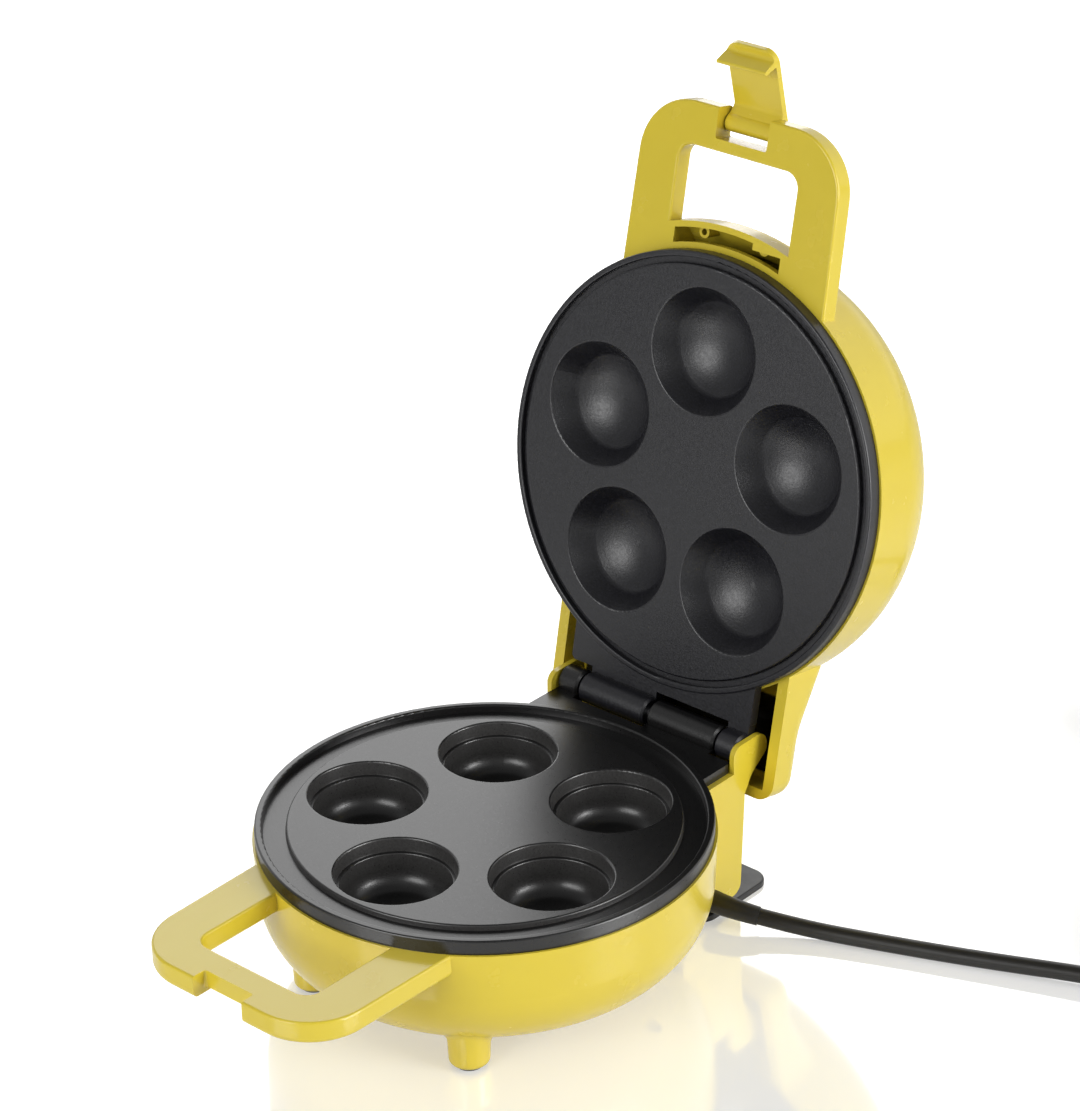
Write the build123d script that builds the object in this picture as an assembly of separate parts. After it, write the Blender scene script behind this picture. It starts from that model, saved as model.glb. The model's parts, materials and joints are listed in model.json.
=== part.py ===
from build123d import *
import os
from math import asin, atan2, cos, pi, radians, sin, tan

os.makedirs("parts", exist_ok=True)

# Frame: +X right, -Y to the front handles, +Z up, millimetres.
# The origin is on the standing surface, under the middle of the opened cooker.
# Each half is drawn with its parting face at height 0 and its housing above it.
# The base half is then turned over, and the lid half is set on top and opened.

# Plates
PLATE_R = 90.0           # cooking plates and their visible black edge
FLANGE_T = 6.0           # thickness of a plate's edge
PLATE_GAP = 0.3          # between the closed plates
BED_T = 3.0              # wall of the plates
CAST_T = 2.2             # wall of cups and domes
RIM_ROUND = 0.8          # rounded edges of cups, domes, plateaus and lips
PAST = 1.0               # how far a cutting shape runs past what it cuts

# Lower plate: a lip, a moat and a plateau with cups
LIP_W = 3.0
MOAT_W = 9.5             # from the lip to the plateau
MOAT_DROP = 3.2
PLATEAU_DROP = 1.0
WALL_SLOPE = 0.4         # how far a step's wall leans
LIP_R = PLATE_R - LIP_W
PLATEAU_R = LIP_R - MOAT_W
MOAT_FLOOR_T = 2.2
LOWER_SKIRT_T = 3.2      # hanging edge of the lower plate
CUP_COUNT = 5
CUP_R = 23.9
CUP_EDGE = 2.8           # between a cup and the plateau's edge
CUP_PITCH_R = PLATEAU_R - CUP_EDGE - CUP_R
CUP_DEPTH = 20.5
CUP_STEP_DEPTH = 6.7     # where a ring step narrows the cup
CUP_STEP = 1.5
CUP_TAPER = 1.6
CUP_FLOOR_R = 7.5        # fillet at the cup's floor

# Upper plate: a ridge, a groove and a flat face with domes
RIDGE_W = 2.6
GROOVE_W = 2.6
GROOVE_DEPTH = 2.5
GROOVE_R = PLATE_R - RIDGE_W
DOME_FACE_R = GROOVE_R - GROOVE_W
GROOVE_FLOOR_T = 2.0
UPPER_SKIRT_T = 2.4
DOME_R = 25.9
DOME_DEPTH = 16.0
DOME_CAP_R = 19.7        # where the conical wall meets the round cap
DOME_CAP_DEPTH = 9.0
DOME_BLEND = 6.0

# Housings
WALL = 2.5
RIM_STEP = 1.0           # how far a housing stands out around its plate
RIM_R = PLATE_R + RIM_STEP
BASE_DEPTH = 57.5        # parting face to the bottom of the bowl
LID_DEPTH = 60.5
BASE_CORNER = 32.0
LID_CORNER = 36.0
DRAFT = 1.8              # how much narrower a housing is at its closed end
BOWL_LIFT = 10.5         # bowl above the standing surface
FLOOR_H = BASE_DEPTH + BOWL_LIFT
PLATE_Y = -24.3          # plate centre in front of the origin

# Heating
HEATER_INSET = 8.0       # heater ring inside the plate's edge
HEATER_R = PLATE_R - HEATER_INSET
TUBE_R = 3.0
TUBE_FIT = 0.1
HEATER_ROOF = 1.8        # plate between the moat and the heater
TUBE_D = MOAT_DROP + HEATER_ROOF + TUBE_R
HEATER_GAP = 24.0        # open angle at the back, degrees
HEATER_BEND = 8.0
HEATER_LEG = 6.0
SEAT_WALL = 1.6          # walls of the heater's seat
SEAT_ROOT = 1.7          # seat's root inside the moat's floor
COLD_PIN_R = 1.5
COLD_PIN_L = 7.0
SHEET_T = 1.0
REFLECTOR_R = HEATER_R
REFLECTOR_LIP = 4.0
LEG_HOLE_R = TUBE_R + 2.0
UNDER_CUPS = 10.5        # from cups or domes to a reflector
UNDER_DOMES = 11.0
BASE_POST_D = CUP_DEPTH + UNDER_CUPS
LID_POST_D = DOME_DEPTH + UNDER_DOMES
BOSS_R = 5.0
POST_R = 6.0
POST_INSET = 19.7
POST_PITCH_R = PLATE_R - POST_INSET

# Screws and studs
SCREW_R = 1.7
SCREW_FIT = 0.1
HEAD_R = 3.2
HEAD_T = 2.4
HEAD_FIT = 0.4
SLOT_W = 0.8             # cross slots in the heads
SLOT_DEPTH = 0.8
SCREW_BITE = 9.0         # length of screw in what it holds
HOLE_SPARE = 1.0         # screw hole beyond the screw's end
HEAD_SEAT = 6.0          # material under a plate screw's head
STUD_R = 2.5
STUD_L = 10.0
STUD_FIT = 0.1

# Hinge
HINGE_BACK = 13.2        # hinge axis behind the plate's edge
HINGE_Y = PLATE_R + HINGE_BACK
HINGE_D = -PLATE_GAP / 2
BARREL_R = 6.5
BARREL_CHAMFER = 0.9
BARREL_CLEAR = 2.2       # from a deck to the other half's barrels
BARREL_RELIEF = 0.7      # cut around the barrels in the tower
PIN_R = 2.5
PIN_PRESS_FIT = 0.02
PIN_RUN_FIT = 0.06
OPEN_ANGLE = 101.6
DECK_HALF = 47.0
DECK_DROP = 1.6          # decks lie lower than the plates' rims
DECK_END_Y = HINGE_Y - BARREL_R - BARREL_CLEAR
DECK_CHAMFER = 1.5
KNUCKLE_MID = 1.2        # half the gap between the long knuckles
KNUCKLE_SHORT = 11.0
KNUCKLE_GAP = 0.4        # on each side of the joint between knuckles
KNUCKLE_END_GAP = 0.4
KNUCKLE_ROOT = 3.0       # knuckle's root inside the deck
PIN_END_GAP = 0.1
PIN_CHAMFER = 0.4
KNUCKLE_SPLIT = DECK_HALF - KNUCKLE_SHORT
KNUCKLE_END = DECK_HALF - KNUCKLE_END_GAP

# Tower behind the bowl, with two ears that hold the hinge pin
EAR_GAP = 0.2
EAR_T = 2.3
EAR_INNER = DECK_HALF + EAR_GAP
TOWER_HALF = EAR_INNER + EAR_T
TOWER_TOP_Y = HINGE_Y - 2.2
TOWER_FOOT_Y = TOWER_TOP_Y - 2.3
TOWER_FRONT_Y = TOWER_TOP_Y - 39.0
TOWER_ROUND = 5.0
REAR_FOOT_H = 4.6        # rear foot under the tower
TOWER_DEPTH = FLOOR_H - REAR_FOOT_H
TOWER_RIM = 12.0         # straight top of the tower's back, from the flange
TOWER_SLOPE_W = 9.0      # where the tower's foot starts behind its front
TOWER_IN = 4.0           # tower's hollow in front of it, inside the bowl
LEDGE_W = 10.0
LEDGE_T = 6.0
EAR_FRONT = 9.4          # ears around the hinge axis
EAR_BACK = 11.8
EAR_TOP = 5.6
EAR_LOW_D = 3.5          # where the back of an ear starts to taper
EAR_KNEE_BACK = 2.2      # knee of the taper behind the hinge axis
EAR_KNEE_D = 10.5
EAR_ROOT_W = 3.0
EAR_ROOT_T = 2.0
EAR_FRONT_Y = HINGE_Y - EAR_FRONT
EAR_BACK_Y = HINGE_Y + EAR_BACK

# Hood of the lid, over the hinge
HOOD_SIDE = 5.0
HOOD_SIDE_GAP = 5.0      # between the hood's sides and the tower
HOOD_HALF = TOWER_HALF + HOOD_SIDE_GAP + HOOD_SIDE
HOOD_BACK = 20.7         # hood's end behind the hinge axis
HOOD_END_Y = HINGE_Y + HOOD_BACK
HOOD_END_T = 4.5
HOOD_D = 23.0
HOOD_FRONT_D = 35.5
HOOD_KNEE_Y = HINGE_Y - 7.2
HOOD_ROUND = 9.0
HOOD_CORNER = 8.0
HOOD_KNEE_ROUND = 30.0
WIRE_WAY_HALF = 30.0     # passage for the wires into the lid
WIRE_WAY_IN = 15.0       # its start inside the plate's edge
WIRE_WAY_LOW = 10.0
WIRE_WAY_HIGH = 18.0

# Rib behind the tower that the opened hood comes down on
STOP_ABOVE_END = 2.1     # rib nearer the hinge than the hood's end
STOP_GAP = 0.6
STOP_T = 3.2
STOP_ROOT = 1.0          # rib's root inside the tower
STOP_TAPER_TOP = 2.0
STOP_TAPER_END = 3.0
STOP_HALF = 40.0

# Handles
HANDLE_REACH = 56.5      # in front of the plates
HANDLE_FRONT_Y = -(PLATE_R + HANDLE_REACH)
HANDLE_ROOT_Y = -(PLATE_R - 20.0)
HANDLE_ROOT_HALF = 50.8
HANDLE_FRONT_HALF = 49.0
HANDLE_CORNER = 25.0
HANDLE_T = 9.5
HANDLE_ROUND = 2.5       # edges away from the parting face
HANDLE_EASE = 1.0        # edges next to it
WINDOW_HALF = 29.5
WINDOW_BAR = 17.5
WINDOW_FRONT_Y = HANDLE_FRONT_Y + WINDOW_BAR
WINDOW_CORNER = 6.5
NOTCH_HALF = 12.7
NOTCH_EASE = 1.0
BASE_NOTCH_W = 6.5
LID_NOTCH_W = 12.5
BASE_NOTCH_Y = HANDLE_FRONT_Y + BASE_NOTCH_W
LID_NOTCH_Y = HANDLE_FRONT_Y + LID_NOTCH_W
CATCH_BAR_T = 7.2        # height of the bar over the latch's hook

# Hollow root of the lid's handle, open to the inside of the lid
POCKET_STRIP = 2.5       # from the plate's edge to the pocket
POCKET_W = 6.0
BRIDGE_T = 2.5
POCKET_IN_R = PLATE_R + POCKET_STRIP
POCKET_OUT_R = POCKET_IN_R + POCKET_W
BRIDGE_R = POCKET_OUT_R + BRIDGE_T
POCKET_HALF = 26.5
POCKET_STRIP_T = 3.0
POCKET_SLOPE_D = 26.0    # where the pocket's slope meets the inside
ROOT_SLOPE_D = 30.0
ROOT_WALL = 1.5
ROOT_SIDE = 2.0          # bridge's end inside the handle's arms
ROOT_BOSS_X = 15.0
ROOT_BOSS_Y = -(PLATE_R + 5.0)
ROOT_BOSS_R = 2.5
ROOT_BOSS_D = 10.5
ROOT_HOLE_R = 1.3
ROOT_BLOCK_X = 12.5      # solid end of the bridge beside a boss
ROOT_BLOCK_T = 4.5

# Latch, drawn hanging closed
LATCH_FIT = 0.7
LATCH_HALF = NOTCH_HALF - LATCH_FIT
LATCH_PIVOT_Y = HANDLE_FRONT_Y + 6.3
LATCH_PIVOT_D = FLANGE_T + HANDLE_T - 1.5
LATCH_BARREL_R = 3.8
LATCH_T = 2.5
LATCH_BACK_Y = HANDLE_FRONT_Y + 2.5
LATCH_TOP = 3.0          # plate beyond the pivot
LATCH_CORNER = 5.5
LATCH_TOP_ROUND = 2.2
LATCH_NECK = 2.5         # slope from the barrel to the plate's back
LATCH_NECK_R = 2.0
LATCH_PIN_R = 1.5
LATCH_PIN_BITE = 7.3
LATCH_PIN_HALF = NOTCH_HALF + LATCH_PIN_BITE
LATCH_OPEN = 66.0
LATCH_TIP = 3.6          # plate beyond the hook
HOOK_T = 3.0
HOOK_LIP_T = 1.6
HOOK_FIT = 0.3
HOOK_UNDERCUT = 0.4
HOOK_REACH = 7.0
HOOK_ROOT_R = 1.4
HOOK_LIP_R = 0.7

# Feet
FOOT_TOP_R = 9.6
FOOT_END_R = 8.0
FOOT_RISE = 30.0         # how far a foot's root goes up inside the bowl
PAD_PROUD = 1.4
FOOT_END_D = FLOOR_H - PAD_PROUD
FOOT_ROUND = 2.0
FOOT_BLEND = 3.0         # fillet between a foot and the bowl
FOOT_SEAM_R = 14.0       # the seam lies within this of the foot's axis
PAD_R = 5.6
PAD_SEAT = 1.6
PAD_FIT = 0.1
PAD_ROUND = 0.4
REAR_FOOT_SIDE = 0.5     # rear foot beyond the tower
REAR_FOOT_HALF = TOWER_HALF + REAR_FOOT_SIDE
REAR_FOOT_FRONT_Y = TOWER_TOP_Y - 27.0
REAR_FOOT_END_Y = TOWER_TOP_Y + 18.0
REAR_FOOT_T = 2.5
REAR_FOOT_CORNER = 8.0
REAR_FOOT_EDGE = 0.8
REAR_NECK_IN = 5.5       # neck inside the tower's outline
REAR_NECK_HALF = TOWER_HALF - REAR_NECK_IN
REAR_NECK_LONG_IN = 5.0
REAR_NECK_FRONT_Y = REAR_FOOT_FRONT_Y + REAR_NECK_LONG_IN
REAR_NECK_END_Y = TOWER_FOOT_Y - 2.7
REAR_SCREW_X = 30.0
REAR_SCREW_Y = TOWER_FOOT_Y - 10.7
REAR_BOSS_H = 10.0
REAR_BOSS_R = 4.0
REAR_HEAD_IN = 0.5       # screw heads above the foot's sole

# Lamps in the top of the lid
LENS_X = 11.0
LENS_Y = -34.0
LENS_R = 4.5
LENS_T = 1.2
LENS_SHANK_R = 3.4
LENS_SHANK_L = 9.0
LENS_FIT = 0.1
LENS_ROUND = 0.8
LENS_FACE_T = 1.0        # lid's depth over a lens's bore
LAMP_R = 2.3
LAMP_L = 11.0
LAMP_FIT = 0.1
LAMP_IN = 2.0            # lamp's end under the lid's top
LAMP_ROUND = 1.2

# Thermostat and terminal block
THERMO_R = 8.0
THERMO_H = 10.0
THERMO_FLANGE_HALF = 15.0
THERMO_FLANGE_T = 1.0
THERMO_FLANGE_W = 8.0
THERMO_SEAT_GAP = 0.2    # thermostat's face under the plate
THERMO_TAB_X = 4.0
THERMO_TAB = (0.8, 5.0, 8.0)
THERMO_TAB_RISE = 3.0
THERMO_SCREW_L = 3.5
THERMO_HEAD_R = 2.8
THERMO_HEAD_T = 1.8
THERMO_SCREW_X = 11.8
THERMO_BOSS_R = 3.4
THERMO_BOSS_H = 3.0
THERMO_SEAT_D = PLATEAU_DROP + BED_T + THERMO_BOSS_H
BLOCK_SIZE = (34.0, 16.0, 13.0)
BLOCK_Y = TOWER_TOP_Y - 15.0
BLOCK_PAD_H = 4.0
BLOCK_BORE_R = 2.2       # wire ways along the block
BLOCK_SCREW_R = 2.0
BLOCK_SCREW_Y = 4.0

# Cord
CORD_R = 3.5
RELIEF_Y = TOWER_TOP_Y - 21.5
RELIEF_RISE = 5.2
RELIEF_D = TOWER_DEPTH - RELIEF_RISE
RELIEF_ROOT_R = 4.2
RELIEF_END_R = 3.9
RELIEF_FLANGE_W = 1.4
RELIEF_FLANGE_T = 1.6
RELIEF_FIT = 0.1
RELIEF_MIDDLE = (9.5, 1.8, -0.7)     # from the tower's wall
RELIEF_MIDDLE_DIR = (1, 0.3, -0.08)
CORD_Z = CORD_R - FLOOR_H
TIE_T = 0.6
TIE_FIT = 0.45
COIL_Z = CORD_Z + TIE_T + TIE_FIT
# By hand, from the strain relief to the coil, beside the plate's centre
CORD_ROUTE = [
    (69.0, 86.0, -61.0),
    (84.6, 93.6, -63.7),
    (108.6, 103.6, CORD_Z),
    (150.0, 120.4, CORD_Z),
    (190.0, 137.3, COIL_Z),
    (230.0, 153.1, COIL_Z),
]
COIL_R = 42.0
COIL_STEP = 7.7          # between neighbouring loops
COIL_RISE = 7.6          # between the two layers
COIL_TURNS_IN = 1.5
COIL_TURNS_UP = 0.5
COIL_TURNS_OUT = 1.25
TIE_TURN = 0.125         # where the tie holds the coil, in turns from its start
TIE_W = 6.0
TIE_TAB_L = 11.0
TIE_BUCKLE_T = 3.0
TIE_BUCKLE_H = 5.0
TIE_BUCKLE_SIDE = 1.0    # buckle beyond the strap's edges
PLUG_R = 18.5
PLUG_AXIS_Z = PLUG_R - FLOOR_H
# By hand, from the coil to the plug, after a straight lead out of the coil
TAIL_LEAD = 24.0
TAIL_ROUTE = [
    (247.0, 262.0, -63.0),
    (231.0, 287.0, CORD_Z),
    (203.0, 303.0, PLUG_AXIS_Z),
    (172.0, 309.0, PLUG_AXIS_Z),
]
PLUG_FACE_T = 12.0
PLUG_L = 34.0
PLUG_BOOT_L = 24.0
PLUG_BOOT_R = 5.5
PLUG_WAIST_R = 11.0
PLUG_GRIP_R = 13.5
PLUG_STEP = 4.0          # length of each step of the grip
PLUG_WAIST_ROUND = 3.0
PLUG_GRIP_ROUND = 4.0
PLUG_FACE_ROUND = 1.2
PLUG_PIN_R = 2.4
PLUG_PIN_L = 19.0
PLUG_PIN_X = 9.5
PLUG_PIN_SEAT = 8.0
PLUG_PIN_ROOT_R = 2.0
PLUG_PIN_ROUND = 1.6


def on_base(shape):
    """A half turned over: its housing hangs below the parting face."""
    return Rot(0, 180, 0) * shape


def on_lid(shape):
    return Pos(0, 0, PLATE_GAP) * shape


def about_x(y, z, angle):
    return Pos(0, y, z) * Rot(angle, 0, 0) * Pos(0, -y, -z)


def side_profile(points, half, corners=()):
    """A block with the outline (y, depth), from -half to half in x."""
    outline = Polyline(*points, close=True)
    face = make_face(outline)
    for point, radius in corners:
        corner = face.vertices().sort_by_distance((*point, 0))[0]
        face = fillet(corner, radius)
    return extrude(Plane.YZ * face, half, both=True)


def box(x_low, x_high, y_low, y_high, z_low, z_high):
    size = (x_high - x_low, y_high - y_low, z_high - z_low)
    low_corner = (Align.MIN, Align.MIN, Align.MIN)
    return Pos(x_low, y_low, z_low) * Box(*size, align=low_corner)


def rod(radius, low, high):
    """An upright cylinder between two depths."""
    upward = (Align.CENTER, Align.CENTER, Align.MIN)
    return Pos(0, 0, low) * Cylinder(radius, high - low, align=upward)


def cross_rod(radius, x_low, x_high, y, depth):
    """A cylinder along X."""
    middle = (x_low + x_high) / 2
    return Pos(middle, y, depth) * Rot(0, 90, 0) * Cylinder(radius, x_high - x_low)


def turned(points, radii=None):
    """A solid of revolution about Z from its (radius, depth) outline."""
    face = make_face(Polyline(*points, close=True))
    for point, radius in radii or []:
        corner = face.vertices().sort_by_distance((*point, 0))[0]
        face = fillet(corner, radius)
    return revolve(Plane.XZ * face, Axis.Z)


def housing(rim_r, depth, corner):
    """A round housing's solid outline, from the flange to its closed end."""
    end_r = rim_r - DRAFT
    outline = [(0, FLANGE_T), (rim_r, FLANGE_T), (end_r, depth), (0, depth)]
    return turned(outline, [((end_r, depth), corner)])


def cup_places():
    """The five cups, the first one next to the handle."""
    step = 360 / CUP_COUNT
    return [Rot(0, 0, -90 + step * i) * Pos(CUP_PITCH_R, 0) for i in range(CUP_COUNT)]


def post_places():
    """The five posts, midway between the cups."""
    step = 360 / CUP_COUNT
    first = -90 + step / 2
    return [Rot(0, 0, first + step * i) * Pos(POST_PITCH_R, 0) for i in range(CUP_COUNT)]


def foot_places():
    """The two posts beside the handle, over the front feet."""
    places = post_places()
    return [places[0], places[-1]]


def knuckles():
    """The two hinge knuckles of a half, as x ranges."""
    return [
        (-KNUCKLE_SPLIT + KNUCKLE_GAP, -KNUCKLE_MID),
        (KNUCKLE_SPLIT + KNUCKLE_GAP, KNUCKLE_END),
    ]


def hinge_leaf():
    """The deck behind a plate with its knuckles."""
    deck = Polygon(
        (-DECK_HALF, 0),
        (DECK_HALF, 0),
        (DECK_HALF, DECK_END_Y),
        (-DECK_HALF, DECK_END_Y),
        align=None,
    )
    deck = chamfer(deck.vertices().group_by(Axis.Y)[-1], DECK_CHAMFER)
    leaf = extrude(Pos(0, 0, DECK_DROP) * deck, FLANGE_T - DECK_DROP)
    for x_low, x_high in knuckles():
        root_y = DECK_END_Y - KNUCKLE_ROOT
        leaf += box(x_low, x_high, root_y, HINGE_Y, DECK_DROP, FLANGE_T)
        barrel = cross_rod(BARREL_R, x_low, x_high, HINGE_Y, HINGE_D)
        leaf += chamfer(barrel.edges().filter_by(GeomType.CIRCLE), BARREL_CHAMFER)
    return leaf - rod(PLATE_R - WALL, -PAST, FLANGE_T + PAST)


def heater_seat():
    """A ring under a plate with a groove that holds the heater."""
    seat_end = TUBE_D + TUBE_R
    groove_r = TUBE_R + TUBE_FIT
    half = groove_r + SEAT_WALL
    root_d = MOAT_DROP + MOAT_FLOOR_T - SEAT_ROOT
    ring = turned(
        [
            (HEATER_R - half, root_d),
            (HEATER_R + half, root_d),
            (HEATER_R + half, seat_end),
            (HEATER_R - half, seat_end),
        ]
    )
    gap_half = HEATER_R * sin(radians(HEATER_GAP / 2)) + 0.5
    groove_top = TUBE_D - groove_r
    gap_front = HEATER_R * cos(radians(HEATER_GAP / 2)) - half - PAST
    gap_back = HEATER_R + half + PAST
    ring -= box(-gap_half, gap_half, gap_front, gap_back, groove_top, seat_end + PAST)
    groove = turned(
        [
            (HEATER_R - groove_r, groove_top),
            (HEATER_R + groove_r, groove_top),
            (HEATER_R + groove_r, seat_end + PAST),
            (HEATER_R - groove_r, seat_end + PAST),
        ],
        [
            ((HEATER_R - groove_r, groove_top), groove_r * 0.9),
            ((HEATER_R + groove_r, groove_top), groove_r * 0.9),
        ],
    )
    return ring, groove


def cup_outline(grow):
    """A cup from the plateau down: taper, ring step, taper, rounded floor."""
    mouth_d = PLATEAU_DROP + (BED_T / 2 if grow else 0)
    step_r = CUP_R - CUP_TAPER / 2 + grow
    floor_r = CUP_R - CUP_TAPER * 1.6 - CUP_STEP + grow
    floor_d = CUP_DEPTH + grow
    return turned(
        [
            (0, mouth_d),
            (CUP_R + grow, mouth_d),
            (step_r, CUP_STEP_DEPTH),
            (step_r - CUP_STEP, CUP_STEP_DEPTH),
            (floor_r, floor_d),
            (0, floor_d),
        ],
        [
            ((step_r - CUP_STEP, CUP_STEP_DEPTH), CUP_STEP / 3),
            ((floor_r, floor_d), CUP_FLOOR_R + grow),
        ],
    )


def round_edges(plate, radius, depth):
    """Rounds the circular edges of that radius at that depth."""
    rims = [
        edge
        for edge in plate.edges().filter_by(GeomType.CIRCLE)
        if abs(edge.radius - radius) < 0.01 and abs(edge.center().Z - depth) < 0.01
    ]
    return fillet(rims, RIM_ROUND)


def lower_plate():
    """Cast plate with five stepped cups, a moat and a raised lip."""
    skirt_r = PLATE_R - LOWER_SKIRT_T
    under_moat = MOAT_DROP + MOAT_FLOOR_T
    plate = turned(
        [
            (0, PLATEAU_DROP),
            (PLATEAU_R, PLATEAU_DROP),
            (PLATEAU_R + WALL_SLOPE, MOAT_DROP),
            (LIP_R - WALL_SLOPE, MOAT_DROP),
            (LIP_R, 0),
            (PLATE_R, 0),
            (PLATE_R, FLANGE_T),
            (0, FLANGE_T),
        ]
    )
    plate -= turned(
        [
            (0, PLATEAU_DROP + BED_T),
            (PLATEAU_R - 2, PLATEAU_DROP + BED_T),
            (PLATEAU_R - 0.5, under_moat),
            (skirt_r, under_moat),
            (skirt_r, FLANGE_T + PAST),
            (0, FLANGE_T + PAST),
        ]
    )
    for place in cup_places():
        plate += place * cup_outline(CAST_T)
    for place in cup_places():
        plate -= place * cup_outline(0)
    plate = round_edges(plate, CUP_R, PLATEAU_DROP)
    plate = round_edges(plate, PLATEAU_R, PLATEAU_DROP)
    plate = round_edges(plate, LIP_R, 0)
    plate = round_edges(plate, PLATE_R, 0)
    ring, groove = heater_seat()
    plate += hinge_leaf()
    plate += ring
    bed_d = PLATEAU_DROP + BED_T / 2
    for place in post_places():
        plate += place * rod(BOSS_R, bed_d, BASE_POST_D)
    for x in (-THERMO_SCREW_X, THERMO_SCREW_X):
        plate += Pos(x, 0) * rod(THERMO_BOSS_R, bed_d, THERMO_SEAT_D)
    plate -= groove
    hole_r = SCREW_R + SCREW_FIT
    for place in post_places():
        plate -= place * rod(hole_r, BASE_POST_D - SCREW_BITE - HOLE_SPARE, BASE_POST_D)
    for x in (-THERMO_SCREW_X, THERMO_SCREW_X):
        hole_end = THERMO_SEAT_D - THERMO_SCREW_L - HOLE_SPARE / 2
        plate -= Pos(x, 0) * rod(hole_r, hole_end, THERMO_SEAT_D)
    bore = PIN_R + PIN_PRESS_FIT
    plate -= cross_rod(bore, -DECK_HALF, DECK_HALF, HINGE_Y, HINGE_D)
    return plate


def dome_cut(grow):
    """A dome's recess: a conical wall that blends into a round cap."""
    lean = atan2(DOME_R - DOME_CAP_R, DOME_CAP_DEPTH)
    edge = (DOME_CAP_R + grow * cos(lean), DOME_CAP_DEPTH + grow * sin(lean))
    mouth_r = edge[0] + edge[1] * tan(lean)
    bottom_d = DOME_DEPTH + grow
    rise = bottom_d - edge[1]
    cap_r = (edge[0] ** 2 + rise**2) / (2 * rise)
    half_turn = asin(edge[0] / cap_r) / 2
    halfway = (cap_r * sin(half_turn), bottom_d - cap_r * (1 - cos(half_turn)))
    wall = Polyline((0, bottom_d), (0, 0), (mouth_r, 0), edge)
    face = make_face([wall, ThreePointArc(edge, halfway, (0, bottom_d))])
    corner = face.vertices().sort_by_distance((*edge, 0))[0]
    return revolve(Plane.XZ * fillet(corner, DOME_BLEND), Axis.Z)


def upper_plate():
    """Cast plate with five domes, a groove and an outer ridge."""
    skirt_r = PLATE_R - UPPER_SKIRT_T
    groove_floor = GROOVE_DEPTH + GROOVE_FLOOR_T
    plate = turned(
        [
            (0, 0),
            (DOME_FACE_R, 0),
            (DOME_FACE_R, GROOVE_DEPTH),
            (GROOVE_R, GROOVE_DEPTH),
            (GROOVE_R, 0),
            (PLATE_R, 0),
            (PLATE_R, FLANGE_T),
            (0, FLANGE_T),
        ]
    )
    plate -= turned(
        [
            (0, BED_T),
            (DOME_FACE_R - 3, BED_T),
            (DOME_FACE_R - 1, groove_floor),
            (skirt_r, groove_floor),
            (skirt_r, FLANGE_T + PAST),
            (0, FLANGE_T + PAST),
        ]
    )
    above = rod(PLATE_R, BED_T / 2, LID_DEPTH)
    for place in cup_places():
        plate += place * (dome_cut(CAST_T) & above)
    for place in cup_places():
        plate -= place * dome_cut(0)
    plate = round_edges(plate, DOME_R, 0)
    plate = round_edges(plate, DOME_FACE_R, 0)
    plate = round_edges(plate, GROOVE_R, 0)
    plate = round_edges(plate, PLATE_R, 0)
    ring, groove = heater_seat()
    plate += hinge_leaf()
    plate += ring
    for place in post_places():
        plate += place * rod(BOSS_R, BED_T / 2, LID_POST_D)
        plate += place * rod(STUD_R, LID_POST_D, LID_POST_D + STUD_L)
    plate -= groove
    bore = PIN_R + PIN_RUN_FIT
    plate -= cross_rod(bore, -DECK_HALF, DECK_HALF, HINGE_Y, HINGE_D)
    return plate


def heater():
    """An open ring, its two legs bent away from the plate at the back."""
    start = 90 + HEATER_GAP / 2
    sweep_angle = 360 - HEATER_GAP
    ring = CenterArc((0, 0, TUBE_D), HEATER_R, start, sweep_angle)
    edges = [ring]
    pins = []
    for end, side in ((0, -1), (1, 1)):
        point = ring.position_at(end)
        along = ring.tangent_at(end) * side
        away = Vector(0, 0, 1)
        quarter = sin(radians(45))
        middle = point + along * HEATER_BEND * quarter + away * HEATER_BEND * (1 - quarter)
        turn_end = point + (along + away) * HEATER_BEND
        leg_end = turn_end + away * HEATER_LEG
        edges.append(ThreePointArc(point, middle, turn_end))
        edges.append(Line(turn_end, leg_end))
        pins.append(Pos(*leg_end) * rod(COLD_PIN_R, -2, COLD_PIN_L))
    path = Wire(edges)
    tube = sweep(Plane(path @ 0, z_dir=path % 0) * Circle(TUBE_R), path)
    return tube + pins


def heater_leg_places():
    """Where the heater's legs pass a reflector."""
    start = radians(90 + HEATER_GAP / 2)
    x = HEATER_R * cos(start) + HEATER_BEND * sin(start)
    y = HEATER_R * sin(start) - HEATER_BEND * cos(start)
    return [Pos(x, y), Pos(-x, y)]


def reflector(seat_d, hole_r):
    """A sheet dish between the heater and the housing."""
    rim_d = seat_d - REFLECTOR_LIP
    dish = turned(
        [
            (0, seat_d),
            (REFLECTOR_R - REFLECTOR_LIP, seat_d),
            (REFLECTOR_R, rim_d),
            (REFLECTOR_R + SHEET_T, rim_d),
            (REFLECTOR_R - REFLECTOR_LIP + 0.4, seat_d + SHEET_T),
            (0, seat_d + SHEET_T),
        ]
    )
    for place in post_places():
        dish -= place * rod(hole_r, seat_d - PAST, seat_d + SHEET_T + PAST)
    for place in heater_leg_places():
        dish -= place * rod(LEG_HOLE_R, rim_d - PAST, seat_d + SHEET_T + PAST)
    return dish


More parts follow.
